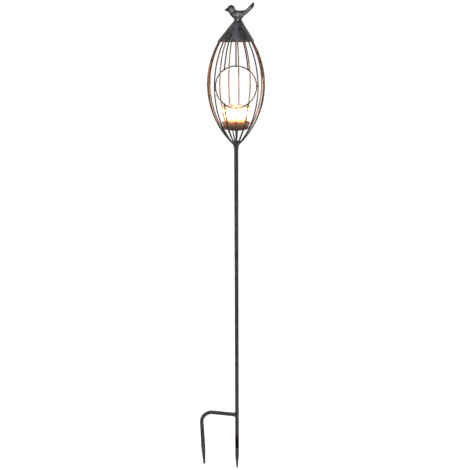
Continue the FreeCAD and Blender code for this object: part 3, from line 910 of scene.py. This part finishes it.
def wear_and_highlight(x, z):
    """How far handling wear and painted highlights brighten the casting, from 0 to 1."""
    def spot(px, pz, wide, tall):
        return math.exp(-((x - px) / wide) ** 2 - ((z - pz) / tall) ** 2)
    cheek = 0.9 * spot(-14.0, 24.5, 4.0, 4.2)
    wing = 0.9 * spot(0.0, 14.5, 10.0, 4.4)
    foot = 0.7 * spot(-0.5, 3.5, 3.0, 6.0)
    tail = 0.6 * math.exp(-((z - x - 0.5) / 3.5) ** 2) if x > 10.0 else 0.0
    return min(1.0, cheek + wing + foot + tail)


def make_bird(looks):
    rough = bpy.data.meshes.new("bird_blocks")
    bm = bird_lumps()
    bm.to_mesh(rough)
    bm.free()
    block = bpy.data.objects.new("bird_blocks", rough)
    bpy.context.scene.collection.objects.link(block)
    remesh = block.modifiers.new("cast", "REMESH")
    remesh.mode = "VOXEL"
    remesh.voxel_size = 0.42 * MM
    smooth = block.modifiers.new("soften", "SMOOTH")
    smooth.factor = 0.5
    smooth.iterations = 7
    graph = bpy.context.evaluated_depsgraph_get()
    cast = bpy.data.meshes.new_from_object(block.evaluated_get(graph))
    bpy.data.objects.remove(block)
    bpy.data.meshes.remove(rough)
    bm = bmesh.new()
    bm.from_mesh(cast)
    bpy.data.meshes.remove(cast)
    bm.normal_update()
    moves = []
    for v in bm.verts:
        x, y, z = (v.co - Vector((CAP_LEAN, 0, CAP_TOP_Z))) / MM
        moves.append(v.normal * (-feather_depth(x, y, z) * MM))
    for v, move in zip(bm.verts, moves):
        v.co += move
    dent(bm, 0.16 * MM, 4 * MM, 14)
    dent(bm, 0.05 * MM, 1.2 * MM, 15)
    layer = bm.verts.layers.float.new("wear_and_highlight")
    for v in bm.verts:
        spot = (v.co - Vector((CAP_LEAN, 0, CAP_TOP_Z))) / MM
        v[layer] = wear_and_highlight(spot.x, spot.z)
    piece("cast_bird", bm, "stand", looks["bird_iron"], ["bird_finial"])

    bm = bmesh.new()
    for k in range(22):
        turn = math.tau * k / 22
        out = Vector((math.cos(turn), math.sin(turn), 0))
        spot = out * (8.9 * MM) + Vector((CAP_LEAN, 0, CAP_TOP_Z + 0.1 * MM))
        add_lump(bm, spot, (1.7 * MM, 1.2 * MM, 1.1 * MM), k + 140, UP.cross(out))
    piece("bird_weld_beads", bm, "stand", looks["cap_sheet"], ["finial_weld"])


# --- candle holder ----------------------------------------------------------

def make_dish(looks):
    bm = bmesh.new()
    low, high = low_z("dish_stem"), low_z("candle_dish") + 0.2 * MM
    path = [Vector((0, 0, low + (high - low) * k / 16)) for k in range(17)]
    add_tube(bm, path, lambda share: 2.0 * MM, lambda spot: Vector((1, 0, 0)), sides=32)
    dent(bm, 0.08 * MM, 4 * MM, 16)
    piece("stem_bar", bm, "stand", looks["front_iron"], ["dish_stem"])

    base = low_z("candle_dish")
    rim_r = reach("candle_dish") - 1.5 * MM
    rim_z = base + 14.0 * MM
    outside = curved([(26.0 * MM, base), (27.4 * MM, base + 0.5 * MM), (28.6 * MM, base + 2.2 * MM),
                      (30.2 * MM, base + 8.0 * MM), (31.4 * MM, rim_z - 1.2 * MM)], 6)
    roll = arc((rim_r, rim_z), 1.5 * MM, -75, 195, 18)
    inside = curved([(30.2 * MM, rim_z - 1.6 * MM), (29.0 * MM, base + 8.0 * MM),
                     (27.6 * MM, base + 3.2 * MM), (26.2 * MM, base + 1.0 * MM)], 6)
    bm = bmesh.new()
    add_lathe(bm, finer([(0, base), (26.0 * MM, base)], 2 * MM)[:-1] + outside + roll + inside
              + finer([(26.0 * MM, base + MM), (0, base + MM)], 2 * MM), 160)
    dent(bm, 0.12 * MM, 8 * MM, 17, lambda spot: 1.0 if math.hypot(spot.x, spot.y) > 26 * MM else 0.0)
    piece("rolled_rim_dish", bm, "stand", looks["dish_iron"], ["candle_dish"])

    bm = bmesh.new()
    for k in range(8):
        turn = math.tau * k / 8
        out = Vector((math.cos(turn), math.sin(turn), 0))
        spot = out * (2.3 * MM) + UP * (base - 0.3 * MM)
        add_lump(bm, spot, (1.4 * MM, 1.0 * MM, 1.0 * MM), k + 170, UP.cross(out))
    piece("dish_weld_beads", bm, "stand", looks["dish_iron"], ["dish_weld"])


def make_glass(looks):
    low = SEAT_Z
    outside = curved([(24.6, 1.5), (25.4, 20.0), (28.6, 34.0), (35.3, 49.5)], 14)
    lip = curved([(35.3, 49.5), (35.25, 50.2), (34.5, 50.5), (33.6, 50.4), (33.4, 49.9)], 4)
    inside = curved([(33.4, 49.9), (26.4, 34.0), (23.1, 20.0), (22.2, 7.0)], 14)
    bottom = [(21.6, 5.8), (20.2, 5.0), (12.0, 5.0), (0.0, 5.0)]
    profile = [(0.0, 0.0), (12.0, 0.0), (22.4, 0.0), (23.6, 0.3)] + outside[:-1] + lip[:-1] + inside + bottom
    bm = bmesh.new()
    add_lathe(bm, [(r * MM, low + z * MM) for r, z in profile], 144)
    piece("flared_cup", bm, "glass", looks["cup_glass"], ["glass_cup"])


def make_candle(looks):
    low = CANDLE_Z
    height = high_z("tealight_tin") - low
    bm = bmesh.new()

    def crimped(turn, r, z):
        """The wall of a pressed cup is fluted, its floor and rim are not."""
        share = math.sin(math.pi * max(0.0, min(1.0, (z - low) / height)))
        return r + 0.12 * MM * share * math.cos(56 * turn) if r > 18 * MM else r

    rim = arc((19.1 * MM, low + height - 0.4 * MM), 0.4 * MM, -90, 180, 10)
    wall = finer([(18.3 * MM, low), (19.0 * MM, low + 0.8 * MM), (19.0 * MM, low + height - 0.8 * MM)], MM)
    foil = 0.4 * MM
    inside = finer([(18.6 * MM, low + height - MM), (18.6 * MM, low + 0.8 * MM), (18.0 * MM, low + foil)], MM)
    underside = [(0, low), (9 * MM, low)]
    bottom = [(9 * MM, low + foil), (0, low + foil)]
    add_lathe(bm, underside + wall + rim + inside + bottom, 224, flutes=crimped)
    piece("crimped_tin", bm, "candle", looks["tin_foil"], ["tealight_tin"])

    bm = bmesh.new()
    top = high_z("tealight_wax")
    floor = low_z("tealight_wax")
    pool = [(18.5 * MM, top), (17.6 * MM, top - 0.2 * MM), (15.5 * MM, top - 0.6 * MM),
            (11.0 * MM, top - 1.0 * MM), (6.0 * MM, top - 1.2 * MM), (2.0 * MM, top - 1.1 * MM),
            (0.0, top - 0.9 * MM)]
    side = finer([(18.5 * MM, floor + 0.3 * MM), (18.5 * MM, top - 0.1 * MM)], 2 * MM)
    add_lathe(bm, [(0, floor), (9 * MM, floor), (18.2 * MM, floor)] + side + curved(pool, 5), 96)
    dent(bm, 0.10 * MM, 6 * MM, 18, lambda spot: 1.0 if spot.z > top - 1.3 * MM else 0.0)
    piece("melted_wax", bm, "candle", looks["candle_wax"], ["tealight_wax"])

    bm = bmesh.new()
    start, end = low_z("wick"), WICK_TOP_Z - 0.3 * MM
    for strand in range(3):
        path = []
        for k in range(91):
            turn = math.tau * (k / 15.0 + strand / 3.0)
            lean = 0.5 * MM * max(0.0, k / 90.0 - 0.7)
            across = Vector((math.cos(turn), math.sin(turn), 0)) * (0.36 * MM)
            path.append(across + Vector((lean, 0, start + (end - start) * k / 90)))
        add_tube(bm, path, lambda share: 0.48 * MM, lambda spot: Vector((1, 0.3, 0)), sides=10)
    piece("braided_wick", bm, "candle", looks["wick_cotton"], ["wick"])

    bm = bmesh.new()
    base = low_z("wick_tab")
    plate = [(1.0, 0.0), (6.0, 0.0), (6.0, 0.35), (1.9, 0.42), (1.35, 0.8), (1.3, 2.9), (1.0, 2.95)]
    add_lathe(bm, [(r * MM, base + z * MM) for r, z in plate], 48, closed=True)
    piece("wick_holder", bm, "candle", looks["tin_foil"], ["wick_tab"])

    bm = bmesh.new()
    foot = WICK_TOP_Z - 2.6 * MM
    shape = [(0.0, 0.0), (1.8, 0.5), (3.3, 2.8), (4.3, 6.6), (4.4, 10.0), (3.7, 14.2), (2.4, 18.6),
             (1.0, 22.6), (0.0, 25.4)]
    add_lathe(bm, [(max(r, 0.0) * MM, foot + z * MM) for r, z in curved(shape, 5)], 48)
    for v in bm.verts:
        v.co.x += 0.6 * MM * math.sin((v.co.z - foot) / (9 * MM))
    flame = piece("candle_flame", bm, "candle", looks["flame"])
    flame.visible_shadow = False


# --- light, floor and camera ------------------------------------------------

def make_candle_lights():
    """The flame's own light, and the warm air above it that colours the cage."""
    for name, lift, power, size, color in (
        ("candle_glow", 12 * MM, 0.0155, 6 * MM, (1.0, 0.86, 0.70)),
        ("warm_air", 62 * MM, 1.0, 16 * MM, (1.0, 0.62, 0.38)),
    ):
        light = bpy.data.lights.new(name, "POINT")
        light.energy = power
        light.color = color
        light.shadow_soft_size = size
        obj = bpy.data.objects.new(name, light)
        obj.location = (0, 0, WICK_TOP_Z + lift)
        bpy.context.scene.collection.objects.link(obj)
        obj.parent = frame["bodies"]["candle"]
        obj.visible_camera = False


def make_studio():
    world = bpy.data.worlds.new("white_room")
    bpy.context.scene.world = world
    world.use_nodes = True
    sky = world.node_tree.nodes["Background"]
    sky.inputs["Color"].default_value = (1, 1, 1, 1)
    sky.inputs["Strength"].default_value = 1.06

    bm = bmesh.new()
    bmesh.ops.create_grid(bm, x_segments=8, y_segments=8, size=600.0)
    for v in bm.verts:
        v.co.z = cad_low.z - 0.0005
    mesh = bpy.data.meshes.new("pale_floor")
    bm.to_mesh(mesh)
    bm.free()
    look = Look("pale_floor_look")
    cloud = look.noise(0.9, detail=3.0)
    look.set(
        Base_Color=look.ramp(cloud, [(0.3, (0.96, 0.96, 0.96)), (0.7, (0.985, 0.985, 0.985))]),
        Roughness=look.levels(cloud, 0.3, 0.7, 0.85, 0.95),
    )
    mesh.materials.append(look.material)
    floor = bpy.data.objects.new("pale_floor", mesh)
    bpy.context.scene.collection.objects.link(floor)

    for name, spot, size, power in (
        ("key_panel", (-1.6, -1.9, 2.3), 1.2, 26.0),
        ("fill_panel", (1.9, -1.2, 1.5), 1.4, 9.0),
        ("back_panel", (0.6, 2.2, 2.2), 1.4, 12.0),
    ):
        light = bpy.data.lights.new(name, "AREA")
        light.energy = power
        light.size = size
        obj = bpy.data.objects.new(name, light)
        obj.location = spot
        aim = Vector((0, 0, 0.6)) - Vector(spot)
        obj.rotation_euler = aim.to_track_quat("-Z", "Y").to_euler()
        bpy.context.scene.collection.objects.link(obj)


def make_camera():
    lens = bpy.data.cameras.new("photo_camera")
    lens.lens = CAMERA_LENS
    lens.sensor_width = 36.0
    lens.clip_start = 0.01
    lens.clip_end = 2000.0
    camera = bpy.data.objects.new("photo_camera", lens)
    camera.location = CAMERA_SPOT
    camera.rotation_euler = (CAMERA_TILT, 0, 0)
    camera.rotation_euler.rotate_axis("Z", CAMERA_ROLL)
    bpy.context.scene.collection.objects.link(camera)
    bpy.context.scene.camera = camera


looks = make_looks()
make_stake(looks)
make_fork(looks)
make_wires(looks)
make_ring(looks)
make_neck(looks)
make_cap(looks)
make_bird(looks)
make_dish(looks)
make_glass(looks)
make_candle(looks)
make_candle_lights()
make_studio()
make_camera()
bpy.context.scene.view_settings.view_transform = "Standard"
